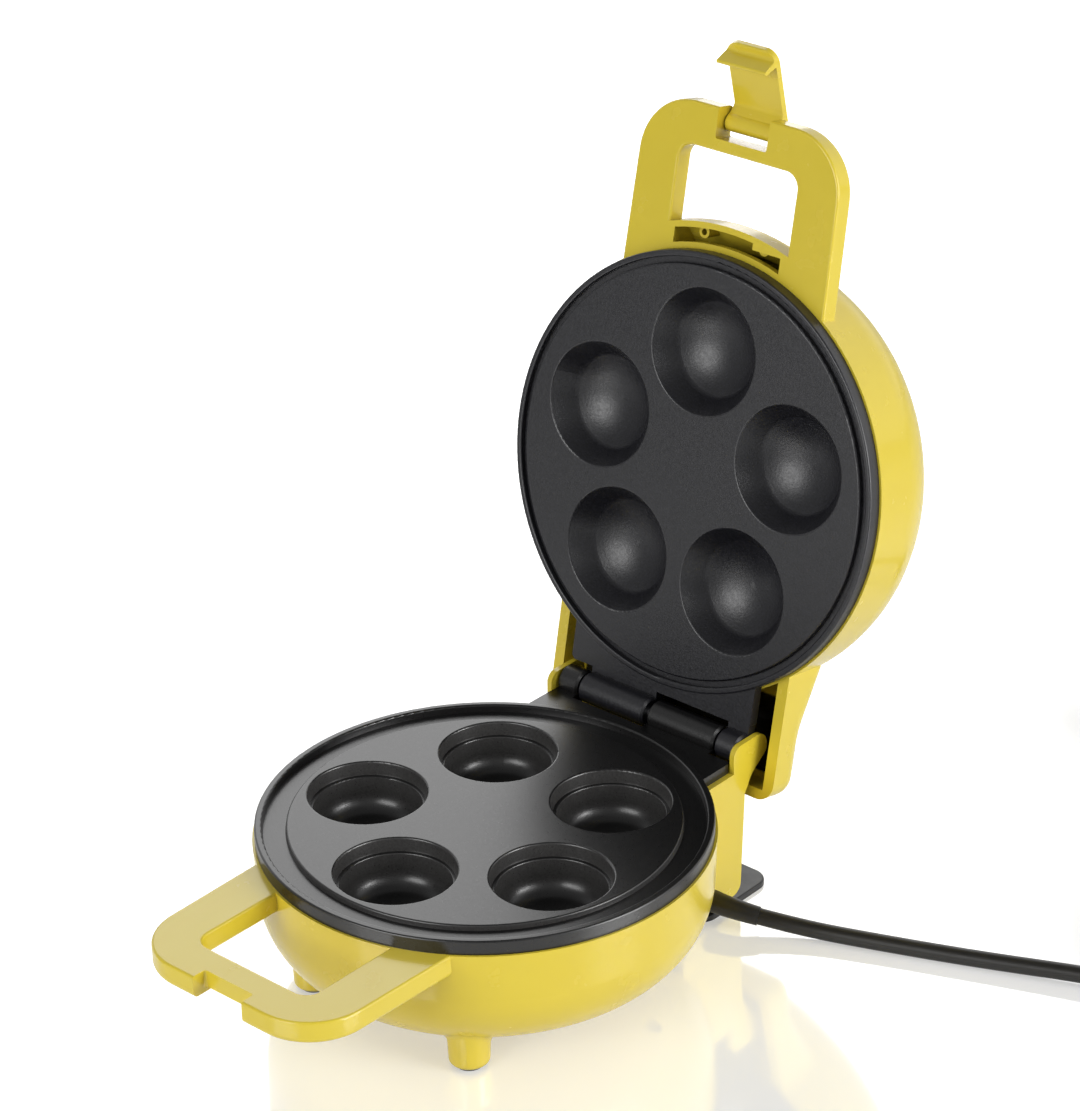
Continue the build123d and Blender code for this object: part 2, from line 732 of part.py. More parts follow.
def handle(cavity):
    """A flat loop handle that grows out of the housing's side."""
    outline = Polygon(
        (-HANDLE_FRONT_HALF, HANDLE_FRONT_Y),
        (HANDLE_FRONT_HALF, HANDLE_FRONT_Y),
        (HANDLE_ROOT_HALF, HANDLE_ROOT_Y),
        (-HANDLE_ROOT_HALF, HANDLE_ROOT_Y),
        align=None,
    )
    outline = fillet(outline.vertices().group_by(Axis.Y)[0], HANDLE_CORNER)
    window = Polygon(
        (-WINDOW_HALF, WINDOW_FRONT_Y),
        (WINDOW_HALF, WINDOW_FRONT_Y),
        (WINDOW_HALF, HANDLE_ROOT_Y + PAST),
        (-WINDOW_HALF, HANDLE_ROOT_Y + PAST),
        align=None,
    )
    window = fillet(window.vertices().group_by(Axis.Y)[0], WINDOW_CORNER)
    grip = extrude(Pos(0, 0, FLANGE_T) * (outline - window), HANDLE_T)
    grip = fillet(grip.faces().sort_by(Axis.Z)[-1].edges(), HANDLE_ROUND)
    grip = fillet(grip.faces().sort_by(Axis.Z)[0].edges(), HANDLE_EASE)
    return grip - cavity


def front_foot():
    """A tapered foot, its root inside the bowl."""
    root_d = BASE_DEPTH - FOOT_RISE
    return turned(
        [
            (0, root_d),
            (FOOT_TOP_R, root_d),
            (FOOT_END_R, FOOT_END_D),
            (0, FOOT_END_D),
        ],
        [((FOOT_END_R, FOOT_END_D), FOOT_ROUND)],
    )


def foot_seam(bowl, place):
    """The edge where the foot at that place meets the bowl."""
    axis = place.position
    return [
        edge
        for edge in bowl.edges().filter_by(GeomType.BSPLINE)
        if Vector(edge.center().X - axis.X, edge.center().Y - axis.Y).length < FOOT_SEAM_R
    ]


def handle_notch(back_y, low, high):
    """The cut in a handle's front bar that the latch swings through."""
    notch = box(-NOTCH_HALF, NOTCH_HALF, HANDLE_FRONT_Y - PAST, back_y, low, high)
    return fillet(notch.edges().filter_by(Axis.Z).group_by(Axis.Y)[-1], NOTCH_EASE)


def base_shell():
    """Bowl, handle, front feet and the tower behind, in one moulding."""
    outer = housing(RIM_R, BASE_DEPTH, BASE_CORNER)
    cavity = housing(RIM_R - WALL, BASE_DEPTH - WALL, BASE_CORNER - WALL)
    tower = side_profile(
        [
            (TOWER_FRONT_Y, FLANGE_T),
            (TOWER_TOP_Y, FLANGE_T),
            (TOWER_TOP_Y, FLANGE_T + TOWER_RIM),
            (TOWER_FOOT_Y, TOWER_DEPTH),
            (TOWER_FRONT_Y + TOWER_SLOPE_W, TOWER_DEPTH),
            (TOWER_FRONT_Y, BASE_DEPTH - PAST),
        ],
        TOWER_HALF,
        [((TOWER_FOOT_Y, TOWER_DEPTH), TOWER_ROUND)],
    )
    tower_cavity = side_profile(
        [
            (TOWER_FRONT_Y - TOWER_IN, FLANGE_T - PAST),
            (TOWER_TOP_Y - LEDGE_W, FLANGE_T - PAST),
            (TOWER_TOP_Y - LEDGE_W, FLANGE_T + LEDGE_T),
            (TOWER_TOP_Y - WALL, FLANGE_T + LEDGE_T),
            (TOWER_FOOT_Y - WALL, TOWER_DEPTH - WALL),
            (TOWER_FRONT_Y + TOWER_SLOPE_W + PAST, TOWER_DEPTH - WALL),
            (TOWER_FRONT_Y - TOWER_IN, BASE_DEPTH - 2 * WALL),
        ],
        TOWER_HALF - WALL,
        [((TOWER_FOOT_Y - WALL, TOWER_DEPTH - WALL), TOWER_ROUND - WALL)],
    )
    shell = outer
    for place in foot_places():
        shell += place * front_foot()
        shell = fillet(foot_seam(shell, place), FOOT_BLEND)
    shell = shell + tower + handle(cavity) - cavity - tower_cavity
    shell += ears() + stop_rib() + posts(BASE_POST_D, BASE_DEPTH, outer) + tower_bosses()
    relief = BARREL_R + BARREL_RELIEF
    shell -= cross_rod(relief, -EAR_INNER, EAR_INNER, HINGE_Y, HINGE_D)
    shell -= post_holes()
    for x in (-REAR_SCREW_X, REAR_SCREW_X):
        hole = rod(SCREW_R + SCREW_FIT, TOWER_DEPTH - SCREW_BITE, TOWER_DEPTH + PAST)
        shell -= Pos(x, REAR_SCREW_Y) * hole
    bar_end = FLANGE_T + CATCH_BAR_T
    below = FLANGE_T + HANDLE_T + PAST
    shell -= handle_notch(BASE_NOTCH_Y, 0, below)
    step_front, step_back = BASE_NOTCH_Y - PAST, WINDOW_FRONT_Y + PAST
    shell -= box(-NOTCH_HALF, NOTCH_HALF, step_front, step_back, bar_end, below)
    relief_hole = RELIEF_ROOT_R + RELIEF_FIT
    outside_x, inside_x = -TOWER_HALF - PAST, -TOWER_HALF + WALL + PAST
    shell -= cross_rod(relief_hole, outside_x, inside_x, RELIEF_Y, RELIEF_D)
    return shell


def ears():
    """Two cheeks of the tower that flank the hinge and hold its pin."""
    rim_d = FLANGE_T + TOWER_RIM
    root_y = TOWER_TOP_Y - EAR_ROOT_W
    root_d = FLANGE_T + EAR_ROOT_T
    knee = (HINGE_Y + EAR_KNEE_BACK, EAR_KNEE_D)
    cheek = side_profile(
        [
            (EAR_FRONT_Y, root_d),
            (EAR_FRONT_Y, -EAR_TOP),
            (EAR_BACK_Y, -EAR_TOP),
            (EAR_BACK_Y, EAR_LOW_D),
            knee,
            (TOWER_TOP_Y, rim_d),
            (root_y, rim_d),
            (root_y, root_d),
        ],
        TOWER_HALF,
        [
            ((EAR_FRONT_Y, -EAR_TOP), 4.5),
            ((EAR_BACK_Y, -EAR_TOP), 6.0),
            ((EAR_BACK_Y, EAR_LOW_D), 4.0),
            (knee, 8.0),
        ],
    )
    front_y, back_y = EAR_FRONT_Y - PAST, EAR_BACK_Y + PAST
    inside = box(-EAR_INNER, EAR_INNER, front_y, back_y, -EAR_TOP - PAST, rim_d + PAST)
    return cheek - inside


def opened_rim_y(depth):
    """Where the opened hood's rim passes a depth behind the hinge axis."""
    lean = radians(OPEN_ANGLE - 90)
    rim_from_axis = FLANGE_T + PLATE_GAP + HINGE_D
    return HINGE_Y + (rim_from_axis - (depth - HINGE_D) * sin(lean)) / cos(lean)


def stop_rib():
    """The rib behind the tower that the opened hood comes down on."""
    top_d = HOOD_BACK - STOP_ABOVE_END
    end_d = top_d + STOP_T
    root_y = TOWER_TOP_Y - STOP_ROOT
    return side_profile(
        [
            (root_y, top_d - STOP_TAPER_TOP),
            (opened_rim_y(top_d) - STOP_GAP, top_d),
            (opened_rim_y(end_d) - STOP_GAP, end_d),
            (root_y, end_d + STOP_TAPER_END),
        ],
        STOP_HALF,
    )


def posts(seat_d, housing_d, outer):
    """Posts inside a housing that carry its reflector and its plate."""
    columns = [place * rod(POST_R, seat_d + SHEET_T, housing_d) for place in post_places()]
    return (Part() + columns) & outer


def post_holes():
    """Screw holes up the posts, with wide mouths that reach the screw heads."""
    seat = BASE_POST_D + SHEET_T + HEAD_SEAT
    end = FOOT_END_D + PAST
    holes = []
    for place in post_places():
        holes.append(place * rod(SCREW_R + SCREW_FIT, BASE_POST_D, end))
        holes.append(place * rod(HEAD_R + HEAD_FIT, seat, end))
    for place in foot_places():
        holes.append(place * rod(PAD_R + PAD_FIT, FOOT_END_D - PAD_SEAT, end))
    return Part() + holes


def cross_slots(top):
    """The cross in a screw's head that ends at that depth."""
    length = HEAD_R * 1.5
    cross = Box(length, SLOT_W, 2 * SLOT_DEPTH) + Box(SLOT_W, length, 2 * SLOT_DEPTH)
    return Pos(0, 0, top) * cross


def plate_screws():
    """Five screws up the posts into the lower plate's bosses."""
    seat = BASE_POST_D + SHEET_T + HEAD_SEAT
    screw = rod(SCREW_R, BASE_POST_D - SCREW_BITE, seat) + rod(HEAD_R, seat, seat + HEAD_T)
    screw -= cross_slots(seat + HEAD_T)
    return Compound([place * screw for place in post_places()])


def tower_bosses():
    """Bosses on the tower's floor for the rear foot's screws and the block."""
    bosses = []
    low = TOWER_DEPTH - REAR_BOSS_H
    for x in (-REAR_SCREW_X, REAR_SCREW_X):
        bosses.append(Pos(x, REAR_SCREW_Y) * rod(REAR_BOSS_R, low, TOWER_DEPTH - WALL / 2))
    width, length, height = BLOCK_SIZE
    pad_top = TOWER_DEPTH - WALL - BLOCK_PAD_H
    pad = box(
        -width / 2, width / 2, BLOCK_Y - length / 2, BLOCK_Y + length / 2,
        pad_top, TOWER_DEPTH - WALL / 2,
    )
    return Part() + bosses + [pad]


def terminal_block():
    """A three-way block that joins the cord to the inside wires."""
    width, length, height = BLOCK_SIZE
    seat = TOWER_DEPTH - WALL - BLOCK_PAD_H
    block = box(
        -width / 2, width / 2, BLOCK_Y - length / 2, BLOCK_Y + length / 2,
        seat - height, seat,
    )
    for i in (-1, 0, 1):
        x = i * width / 3
        bore = Rot(90, 0, 0) * Cylinder(BLOCK_BORE_R, length + 2 * PAST)
        block -= Pos(x, BLOCK_Y, seat - height / 2 - 1) * bore
        for y in (-BLOCK_SCREW_Y, BLOCK_SCREW_Y):
            mouth = rod(BLOCK_SCREW_R, seat - height - PAST, seat - height + 4)
            block -= Pos(x, BLOCK_Y + y) * mouth
    return block


def front_foot_pads():
    pad = rod(PAD_R, FOOT_END_D - PAD_SEAT, FLOOR_H)
    pad = fillet(pad.faces().sort_by(Axis.Z)[-1].edges(), PAD_ROUND)
    return Compound([place * pad for place in foot_places()])


def rear_foot():
    """A wide plate under the tower, screwed to it through a neck."""
    middle_y = (REAR_FOOT_FRONT_Y + REAR_FOOT_END_Y) / 2
    length = REAR_FOOT_END_Y - REAR_FOOT_FRONT_Y
    outline = RectangleRounded(2 * REAR_FOOT_HALF, length, REAR_FOOT_CORNER)
    foot = extrude(Pos(0, middle_y, FLOOR_H - REAR_FOOT_T) * outline, REAR_FOOT_T)
    foot = fillet(foot.faces().sort_by(Axis.Z)[0].edges(), REAR_FOOT_EDGE)
    foot += box(
        -REAR_NECK_HALF, REAR_NECK_HALF, REAR_NECK_FRONT_Y, REAR_NECK_END_Y,
        TOWER_DEPTH, FLOOR_H - REAR_FOOT_T / 2,
    )
    for x in (-REAR_SCREW_X, REAR_SCREW_X):
        place = Pos(x, REAR_SCREW_Y)
        foot -= place * rod(SCREW_R + SCREW_FIT, TOWER_DEPTH - PAST, FLOOR_H + PAST)
        foot -= place * rod(HEAD_R + HEAD_FIT, rear_screw_seat(), FLOOR_H + PAST)
    return foot


def rear_screw_seat():
    return FLOOR_H - HEAD_T - REAR_HEAD_IN


def rear_foot_screws():
    seat = rear_screw_seat()
    end = TOWER_DEPTH - SCREW_BITE + HOLE_SPARE
    screw = rod(SCREW_R, end, seat) + rod(HEAD_R, seat, seat + HEAD_T)
    screw -= cross_slots(seat + HEAD_T)
    return Compound([Pos(x, REAR_SCREW_Y) * screw for x in (-REAR_SCREW_X, REAR_SCREW_X)])


def hinge_pin():
    half = EAR_INNER - PIN_END_GAP
    pin = cross_rod(PIN_R, -half, half, HINGE_Y, HINGE_D)
    return chamfer(pin.edges().filter_by(GeomType.CIRCLE), PIN_CHAMFER)


def thermostat():
    """A round snap-action thermostat on a two-hole flange."""
    seat = THERMO_SEAT_D
    outline = SlotOverall(2 * THERMO_FLANGE_HALF, THERMO_FLANGE_W)
    body = rod(THERMO_R, seat - THERMO_BOSS_H + THERMO_SEAT_GAP, seat + THERMO_H)
    body += extrude(Pos(0, 0, seat) * outline, THERMO_FLANGE_T)
    for x in (-THERMO_TAB_X, THERMO_TAB_X):
        body += Pos(x, 0, seat + THERMO_H + THERMO_TAB_RISE) * Box(*THERMO_TAB)
    hole = rod(SCREW_R + SCREW_FIT, seat - PAST, seat + THERMO_FLANGE_T + PAST)
    for x in (-THERMO_SCREW_X, THERMO_SCREW_X):
        body -= Pos(x, 0) * hole
    return body


def thermostat_screws():
    seat = THERMO_SEAT_D
    top = seat + THERMO_FLANGE_T
    screw = rod(SCREW_R, seat - THERMO_SCREW_L, top)
    screw += rod(THERMO_HEAD_R, top, top + THERMO_HEAD_T)
    return Compound([Pos(x, 0) * screw for x in (-THERMO_SCREW_X, THERMO_SCREW_X)])


def hood():
    """The lid's rear box that covers the hinge, open to the parting face."""
    outer = side_profile(
        [
            (TOWER_FRONT_Y, FLANGE_T),
            (HOOD_END_Y, FLANGE_T),
            (HOOD_END_Y, HOOD_D),
            (HOOD_KNEE_Y, HOOD_D),
            (TOWER_FRONT_Y, HOOD_FRONT_D),
        ],
        HOOD_HALF,
        [((HOOD_END_Y, HOOD_D), HOOD_ROUND), ((HOOD_KNEE_Y, HOOD_D), HOOD_KNEE_ROUND)],
    )
    ends = outer.edges().filter_by(Axis.Z).group_by(Axis.Y)[-1]
    outer = fillet(ends, HOOD_CORNER)
    inner = side_profile(
        [
            (TOWER_FRONT_Y - PAST, FLANGE_T - PAST),
            (HOOD_END_Y - HOOD_END_T, FLANGE_T - PAST),
            (HOOD_END_Y - HOOD_END_T, HOOD_D - WALL),
            (HOOD_KNEE_Y, HOOD_D - WALL),
            (TOWER_FRONT_Y - PAST, HOOD_FRONT_D - WALL),
        ],
        HOOD_HALF - HOOD_SIDE,
        [((HOOD_END_Y - HOOD_END_T, HOOD_D - WALL), HOOD_ROUND - HOOD_END_T)],
    )
    return outer - inner


def handle_root():
    """The lid handle's hollow root: a bridge, a pocket and two screw bosses."""
    front_d = FLANGE_T + HANDLE_T
    inside_r = RIM_R - WALL - PAST
    root = turned(
        [
            (inside_r, FLANGE_T),
            (BRIDGE_R, FLANGE_T),
            (BRIDGE_R, front_d),
            (inside_r, ROOT_SLOPE_D),
        ],
        [((BRIDGE_R, front_d), HANDLE_ROUND)],
    )
    half = WINDOW_HALF + ROOT_SIDE
    root &= box(-half, half, -BRIDGE_R, HANDLE_ROOT_Y, FLANGE_T, ROOT_SLOPE_D)
    pocket = turned(
        [
            (POCKET_IN_R, FLANGE_T - PAST),
            (POCKET_OUT_R, FLANGE_T - PAST),
            (POCKET_OUT_R, front_d - ROOT_WALL),
            (inside_r - PAST, POCKET_SLOPE_D),
            (inside_r - PAST, FLANGE_T + POCKET_STRIP_T),
            (POCKET_IN_R, FLANGE_T + POCKET_STRIP_T),
        ]
    )
    pocket &= box(-POCKET_HALF, POCKET_HALF, -BRIDGE_R, HANDLE_ROOT_Y, 0, ROOT_SLOPE_D)
    block_end = FLANGE_T + ROOT_BLOCK_T
    added = box(
        ROOT_BLOCK_X, POCKET_HALF + PAST, -POCKET_OUT_R, ROOT_BOSS_Y, FLANGE_T, block_end
    )
    holes = Part()
    for x in (-ROOT_BOSS_X, ROOT_BOSS_X):
        added += Pos(x, ROOT_BOSS_Y) * rod(ROOT_BOSS_R, ROOT_BOSS_D, ROOT_SLOPE_D)
        holes += Pos(x, ROOT_BOSS_Y) * rod(ROOT_HOLE_R, ROOT_BOSS_D - PAST, front_d)
    return root, pocket, added & root, holes


def lid_shell():
    """Dome, handle and hood, in one moulding."""
    outer = housing(RIM_R, LID_DEPTH, LID_CORNER)
    cavity = housing(RIM_R - WALL, LID_DEPTH - WALL, LID_CORNER - WALL)
    root, pocket, root_bosses, root_holes = handle_root()
    shell = outer + hood() + handle(cavity) + root
    shell -= cavity
    shell -= pocket
    shell += root_bosses
    shell -= root_holes
    shell += posts(LID_POST_D, LID_DEPTH, outer)
    for place in post_places():
        shell -= place * rod(STUD_R + STUD_FIT, LID_POST_D, LID_POST_D + STUD_L + HOLE_SPARE)
    way_front_y = PLATE_R - WIRE_WAY_IN
    shell -= box(
        -WIRE_WAY_HALF, WIRE_WAY_HALF, way_front_y, HOOD_KNEE_Y, WIRE_WAY_LOW, WIRE_WAY_HIGH
    )
    shell -= handle_notch(LID_NOTCH_Y, 0, FLANGE_T + HANDLE_T + PAST)
    pin_hole = LATCH_PIN_R + PIN_PRESS_FIT
    reach = LATCH_PIN_HALF + PIN_END_GAP
    shell -= cross_rod(pin_hole, -reach, reach, LATCH_PIVOT_Y, LATCH_PIVOT_D)
    lens_hole = rod(LENS_SHANK_R + LENS_FIT, LID_DEPTH - WALL - PAST, LID_DEPTH + PAST)
    for x in (-LENS_X, LENS_X):
        shell -= Pos(x, LENS_Y) * lens_hole
    return shell


def lens(x):
    """A lamp's lens: a low head on the lid and a hollow shank through it."""
    head = rod(LENS_R, LID_DEPTH, LID_DEPTH + LENS_T)
    head = fillet(head.faces().sort_by(Axis.Z)[-1].edges(), LENS_ROUND)
    shank_end = LID_DEPTH - LENS_SHANK_L
    shank = rod(LENS_SHANK_R, shank_end, LID_DEPTH)
    bore = rod(LAMP_R + LAMP_FIT, shank_end - PAST, LID_DEPTH - LENS_FACE_T)
    return Pos(x, LENS_Y) * (head + shank - bore)


def indicator_lamps():
    lamp = rod(LAMP_R, LID_DEPTH - LAMP_IN - LAMP_L, LID_DEPTH - LAMP_IN)
    lamp = fillet(lamp.faces().sort_by(Axis.Z)[-1].edges(), LAMP_ROUND)
    return Compound([Pos(x, LENS_Y) * lamp for x in (-LENS_X, LENS_X)])


def latch_pin():
    half = LATCH_PIN_HALF
    return cross_rod(LATCH_PIN_R, -half, half, LATCH_PIVOT_Y, LATCH_PIVOT_D)


def latch():
    """A pivoting plate whose hook grips under the lower handle's bar."""
    front_y = LATCH_BACK_Y - LATCH_T
    top_d = LATCH_PIVOT_D + LATCH_TOP
    neck_d = LATCH_PIVOT_D - LATCH_BARREL_R - LATCH_NECK
    catch_d = -(FLANGE_T + CATCH_BAR_T + HOOK_FIT + PLATE_GAP)
    hook_y = LATCH_BACK_Y + HOOK_REACH
    hook_end_d = catch_d - HOOK_T
    tip_d = hook_end_d - LATCH_TIP
    plate = side_profile(
        [
            (front_y, top_d),
            (LATCH_PIVOT_Y, top_d),
            (LATCH_PIVOT_Y, LATCH_PIVOT_D - LATCH_BARREL_R),
            (LATCH_BACK_Y, neck_d),
            (LATCH_BACK_Y, catch_d - HOOK_UNDERCUT),
            (hook_y, catch_d),
            (hook_y, catch_d - HOOK_LIP_T),
            (LATCH_BACK_Y, hook_end_d),
            (LATCH_BACK_Y, tip_d),
            (front_y, tip_d),
        ],
        LATCH_HALF,
        [
            ((front_y, top_d), LATCH_TOP_ROUND),
            ((LATCH_BACK_Y, neck_d), LATCH_NECK_R),
            ((LATCH_BACK_Y, catch_d - HOOK_UNDERCUT), HOOK_ROOT_R / 2),
            ((hook_y, catch_d), HOOK_LIP_R),
            ((hook_y, catch_d - HOOK_LIP_T), HOOK_LIP_R),
            ((LATCH_BACK_Y, hook_end_d), HOOK_ROOT_R),
            ((LATCH_BACK_Y, tip_d), HOOK_LIP_R),
        ],
    )
    blank = box(-LATCH_HALF, LATCH_HALF, front_y - PAST, hook_y + PAST, tip_d, top_d)
    plate &= fillet(blank.edges().filter_by(Axis.Y).group_by(Axis.Z)[0], LATCH_CORNER)
    plate += cross_rod(LATCH_BARREL_R, -LATCH_HALF, LATCH_HALF, LATCH_PIVOT_Y, LATCH_PIVOT_D)
    hole_r = LATCH_PIN_R + PIN_RUN_FIT
    reach = LATCH_HALF + PAST
    return plate - cross_rod(hole_r, -reach, reach, LATCH_PIVOT_Y, LATCH_PIVOT_D)


def strain_relief():
    """A sleeve that grips the tower's wall and bends with the cord."""
    start = Vector(TOWER_HALF, RELIEF_Y, -RELIEF_D)
    end = Vector(*CORD_ROUTE[0])
    heading = (Vector(*CORD_ROUTE[1]) - end).normalized()
    middle = start + Vector(*RELIEF_MIDDLE)
    planes = [
        Plane(start, z_dir=(1, 0, 0)),
        Plane(middle, z_dir=RELIEF_MIDDLE_DIR),
        Plane(end, z_dir=heading),
    ]
    radii = [RELIEF_ROOT_R + 0.5, RELIEF_ROOT_R + 0.1, RELIEF_END_R]
    sleeve = loft([plane * Circle(radius) for plane, radius in zip(planes, radii)])
    inner_x = TOWER_HALF - WALL - RELIEF_FIT
    sleeve += cross_rod(RELIEF_ROOT_R, inner_x - PAST, TOWER_HALF, RELIEF_Y, -RELIEF_D)
    flange_x = inner_x - RELIEF_FLANGE_T
    sleeve += box_flange(flange_x, inner_x)
    return sleeve


def box_flange(x_low, x_high):
    """The relief's square inner flange, flat against the tower's wall."""
    half = RELIEF_ROOT_R + RELIEF_FLANGE_W
    low_z = -(TOWER_DEPTH - WALL) + RELIEF_FIT
    return box(x_low, x_high, RELIEF_Y - half, RELIEF_Y + half, low_z, -RELIEF_D + half)


def tube(route, radius):
    """A cord through hand-set points, each corner as large as its runs allow."""
    points = [Vector(*point) for point in route]
    runs = [(b - a).length for a, b in zip(points, points[1:])]
    radii = []
    for i in range(1, len(points) - 1):
        turn = (points[i] - points[i - 1]).get_angle(points[i + 1] - points[i])
        radii.append(0.45 * min(runs[i - 1], runs[i]) / tan(radians(turn) / 2))
    path = FilletPolyline(*points, radius=radii).wire()
    start = Plane(path @ 0, z_dir=path % 0)
    solid = sweep(start * Circle(radius), path)
    ratio = solid.volume / (pi * radius**2 * path.length)
    print("cord radii", [round(r) for r in radii], "length", round(path.length, 1), round(ratio, 4))
    return solid


def arc_from(point, tangent, end):
    """The arc that leaves point along tangent and ends at end."""
    chord = end - point
    along = chord.normalized()
    aside = tangent - along * tangent.dot(along)
    if aside.length < 1e-6:
        return Line(point, end)
    half = radians(tangent.get_angle(chord)) / 2
    middle = point + chord / 2 + aside.normalized() * (chord.length / 2 * tan(half))
    return ThreePointArc(point, middle, end)


def biarc(start, start_dir, end, end_dir):
    """Two arcs that join two points and keep both directions."""
    chord = end - start
    total = start_dir + end_dir
    spread = 2 * (1 - start_dir.dot(end_dir))
    across = chord.dot(total)
    reach = (-across + (across**2 + spread * chord.dot(chord)) ** 0.5) / spread
    joint = (start + end + (start_dir - end_dir) * reach) / 2
    first = arc_from(start, start_dir, joint)
    middle_dir = (first % 1).normalized()
    return [first, arc_from(joint, middle_dir, end)]


def coil_start():
    """Where the cord reaches the coil, and its heading there."""
    last, before = Vector(*CORD_ROUTE[-1]), Vector(*CORD_ROUTE[-2])
    return last, (last - before).normalized()


def coil_point(turns):
    """A point of the coil: in along the lower layer, up, out along the upper."""
    point, heading = coil_start()
    entry = point + heading * (2 * CORD_R)
    centre = entry + Vector(-heading.Y, heading.X, 0) * COIL_R
    reversal = COIL_TURNS_IN + COIL_TURNS_UP / 2
    radius = COIL_R - COIL_STEP * (reversal - abs(turns - reversal))
    climbed = min(max((turns - COIL_TURNS_IN) / COIL_TURNS_UP, 0), 1)
    height = COIL_RISE * (1 - cos(pi * climbed)) / 2
    angle = radians(Vector(1, 0, 0).get_signed_angle(heading, Vector(0, 0, 1))) - pi / 2
    angle += 2 * pi * turns
    return Vector(centre.X + radius * cos(angle), centre.Y + radius * sin(angle), point.Z + height)


def cord_tie():
    """A strap round the coil's loops, its free end pulled through a buckle."""
    outermost = coil_point(TIE_TURN)
    innermost = coil_point(TIE_TURN + COIL_TURNS_IN + COIL_TURNS_UP)
    along = coil_heading(TIE_TURN)
    inward = Vector(-along.Y, along.X, 0).normalized()
    loops_w = (innermost - outermost).dot(inward)
    width = loops_w + 2 * (CORD_R + TIE_FIT)
    height = COIL_RISE + 2 * (CORD_R + TIE_FIT)
    middle = outermost + inward * (loops_w / 2) + Vector(0, 0, COIL_RISE / 2)
    inside = RectangleRounded(width, height, CORD_R + TIE_FIT)
    outside = RectangleRounded(width + 2 * TIE_T, height + 2 * TIE_T, CORD_R + TIE_FIT + TIE_T)
    strap = extrude(outside - inside, TIE_W / 2, both=True)
    side_x = -(width / 2 + TIE_T / 2)
    buckle = Box(TIE_BUCKLE_T, TIE_BUCKLE_H, TIE_W + 2 * TIE_BUCKLE_SIDE)
    strap += Pos(side_x - TIE_BUCKLE_T / 2) * buckle
    strap += Pos(side_x - TIE_TAB_L / 2) * Box(TIE_TAB_L, 2 * TIE_T, TIE_W)
    return Plane(middle, x_dir=inward, z_dir=along) * strap


def coil_heading(turns):
    step = 1e-4
    return (coil_point(turns + step) - coil_point(max(turns - step, 0))).normalized()


def coil_path():
    """The coil's wire, in biarcs of a quarter turn between straight ends."""
    total = COIL_TURNS_IN + COIL_TURNS_UP + COIL_TURNS_OUT
    count = round(total * 4)
    places = [total * i / count for i in range(count + 1)]
    first, heading = coil_start()
    edges = [Line(first, first + heading * (2 * CORD_R))]
    points = [coil_point(turns) for turns in places]
    directions = [heading] + [coil_heading(turns) for turns in places[1:-1]]
    last_dir = points[-1] - coil_point(total - 1e-4)
    last_dir = Vector(last_dir.X, last_dir.Y, 0).normalized()
    directions.append(last_dir)
    for i in range(count):
        edges += biarc(points[i], directions[i], points[i + 1], directions[i + 1])
    edges.append(Line(points[-1], points[-1] + last_dir * (2 * CORD_R)))
    return Wire(edges)


def coil():
    path = coil_path()
    solid = sweep(Plane(path @ 0, z_dir=path % 0) * Circle(CORD_R), path)
    count = int(path.length / 2)
    samples = [path @ (i / count) for i in range(count + 1)]
    apart = int(8 * CORD_R / 2)
    gap = min(
        (samples[i] - samples[j]).length
        for i in range(count + 1)
        for j in range(i + apart, count + 1)
    )
    ratio = solid.volume / (pi * CORD_R**2 * path.length)
    print("coil gap", round(gap - 2 * CORD_R, 2), "length", round(path.length, 1), round(ratio, 4))
    return solid, path


def plug(heading_angle, entry):
    """A straight moulded plug: a round face, a waisted grip and a boot."""
    place = Pos(*entry) * Rot(0, 0, heading_angle) * Rot(0, 90, 0)
    face = PLUG_BOOT_L + PLUG_L
    disc = face - PLUG_FACE_T
    waist = (PLUG_WAIST_R, PLUG_BOOT_L + PLUG_STEP)
    grip = (PLUG_GRIP_R, disc - PLUG_STEP)
    body = turned(
        [
            (0, 0),
            (RELIEF_END_R, 0),
            (PLUG_BOOT_R, PLUG_BOOT_L),
            waist,
            grip,
            (PLUG_R, disc),
            (PLUG_R, face),
            (0, face),
        ],
        [
            (waist, PLUG_WAIST_ROUND),
            (grip, PLUG_GRIP_ROUND),
            ((PLUG_R, face), PLUG_FACE_ROUND),
        ],
    )
    pins = []
    for y in (-PLUG_PIN_X, PLUG_PIN_X):
        pin = rod(PLUG_PIN_R, face, face + PLUG_PIN_L)
        pin = fillet(pin.faces().sort_by(Axis.Z)[-1].edges(), PLUG_PIN_ROUND)
        pin += rod(PLUG_PIN_ROOT_R, face - PLUG_PIN_SEAT, face)
        pins.append(Pos(0, y) * pin)
        body -= Pos(0, y) * rod(PLUG_PIN_ROOT_R, face - PLUG_PIN_SEAT, face + PAST)
    return place * body, Compound([place * pin for pin in pins])


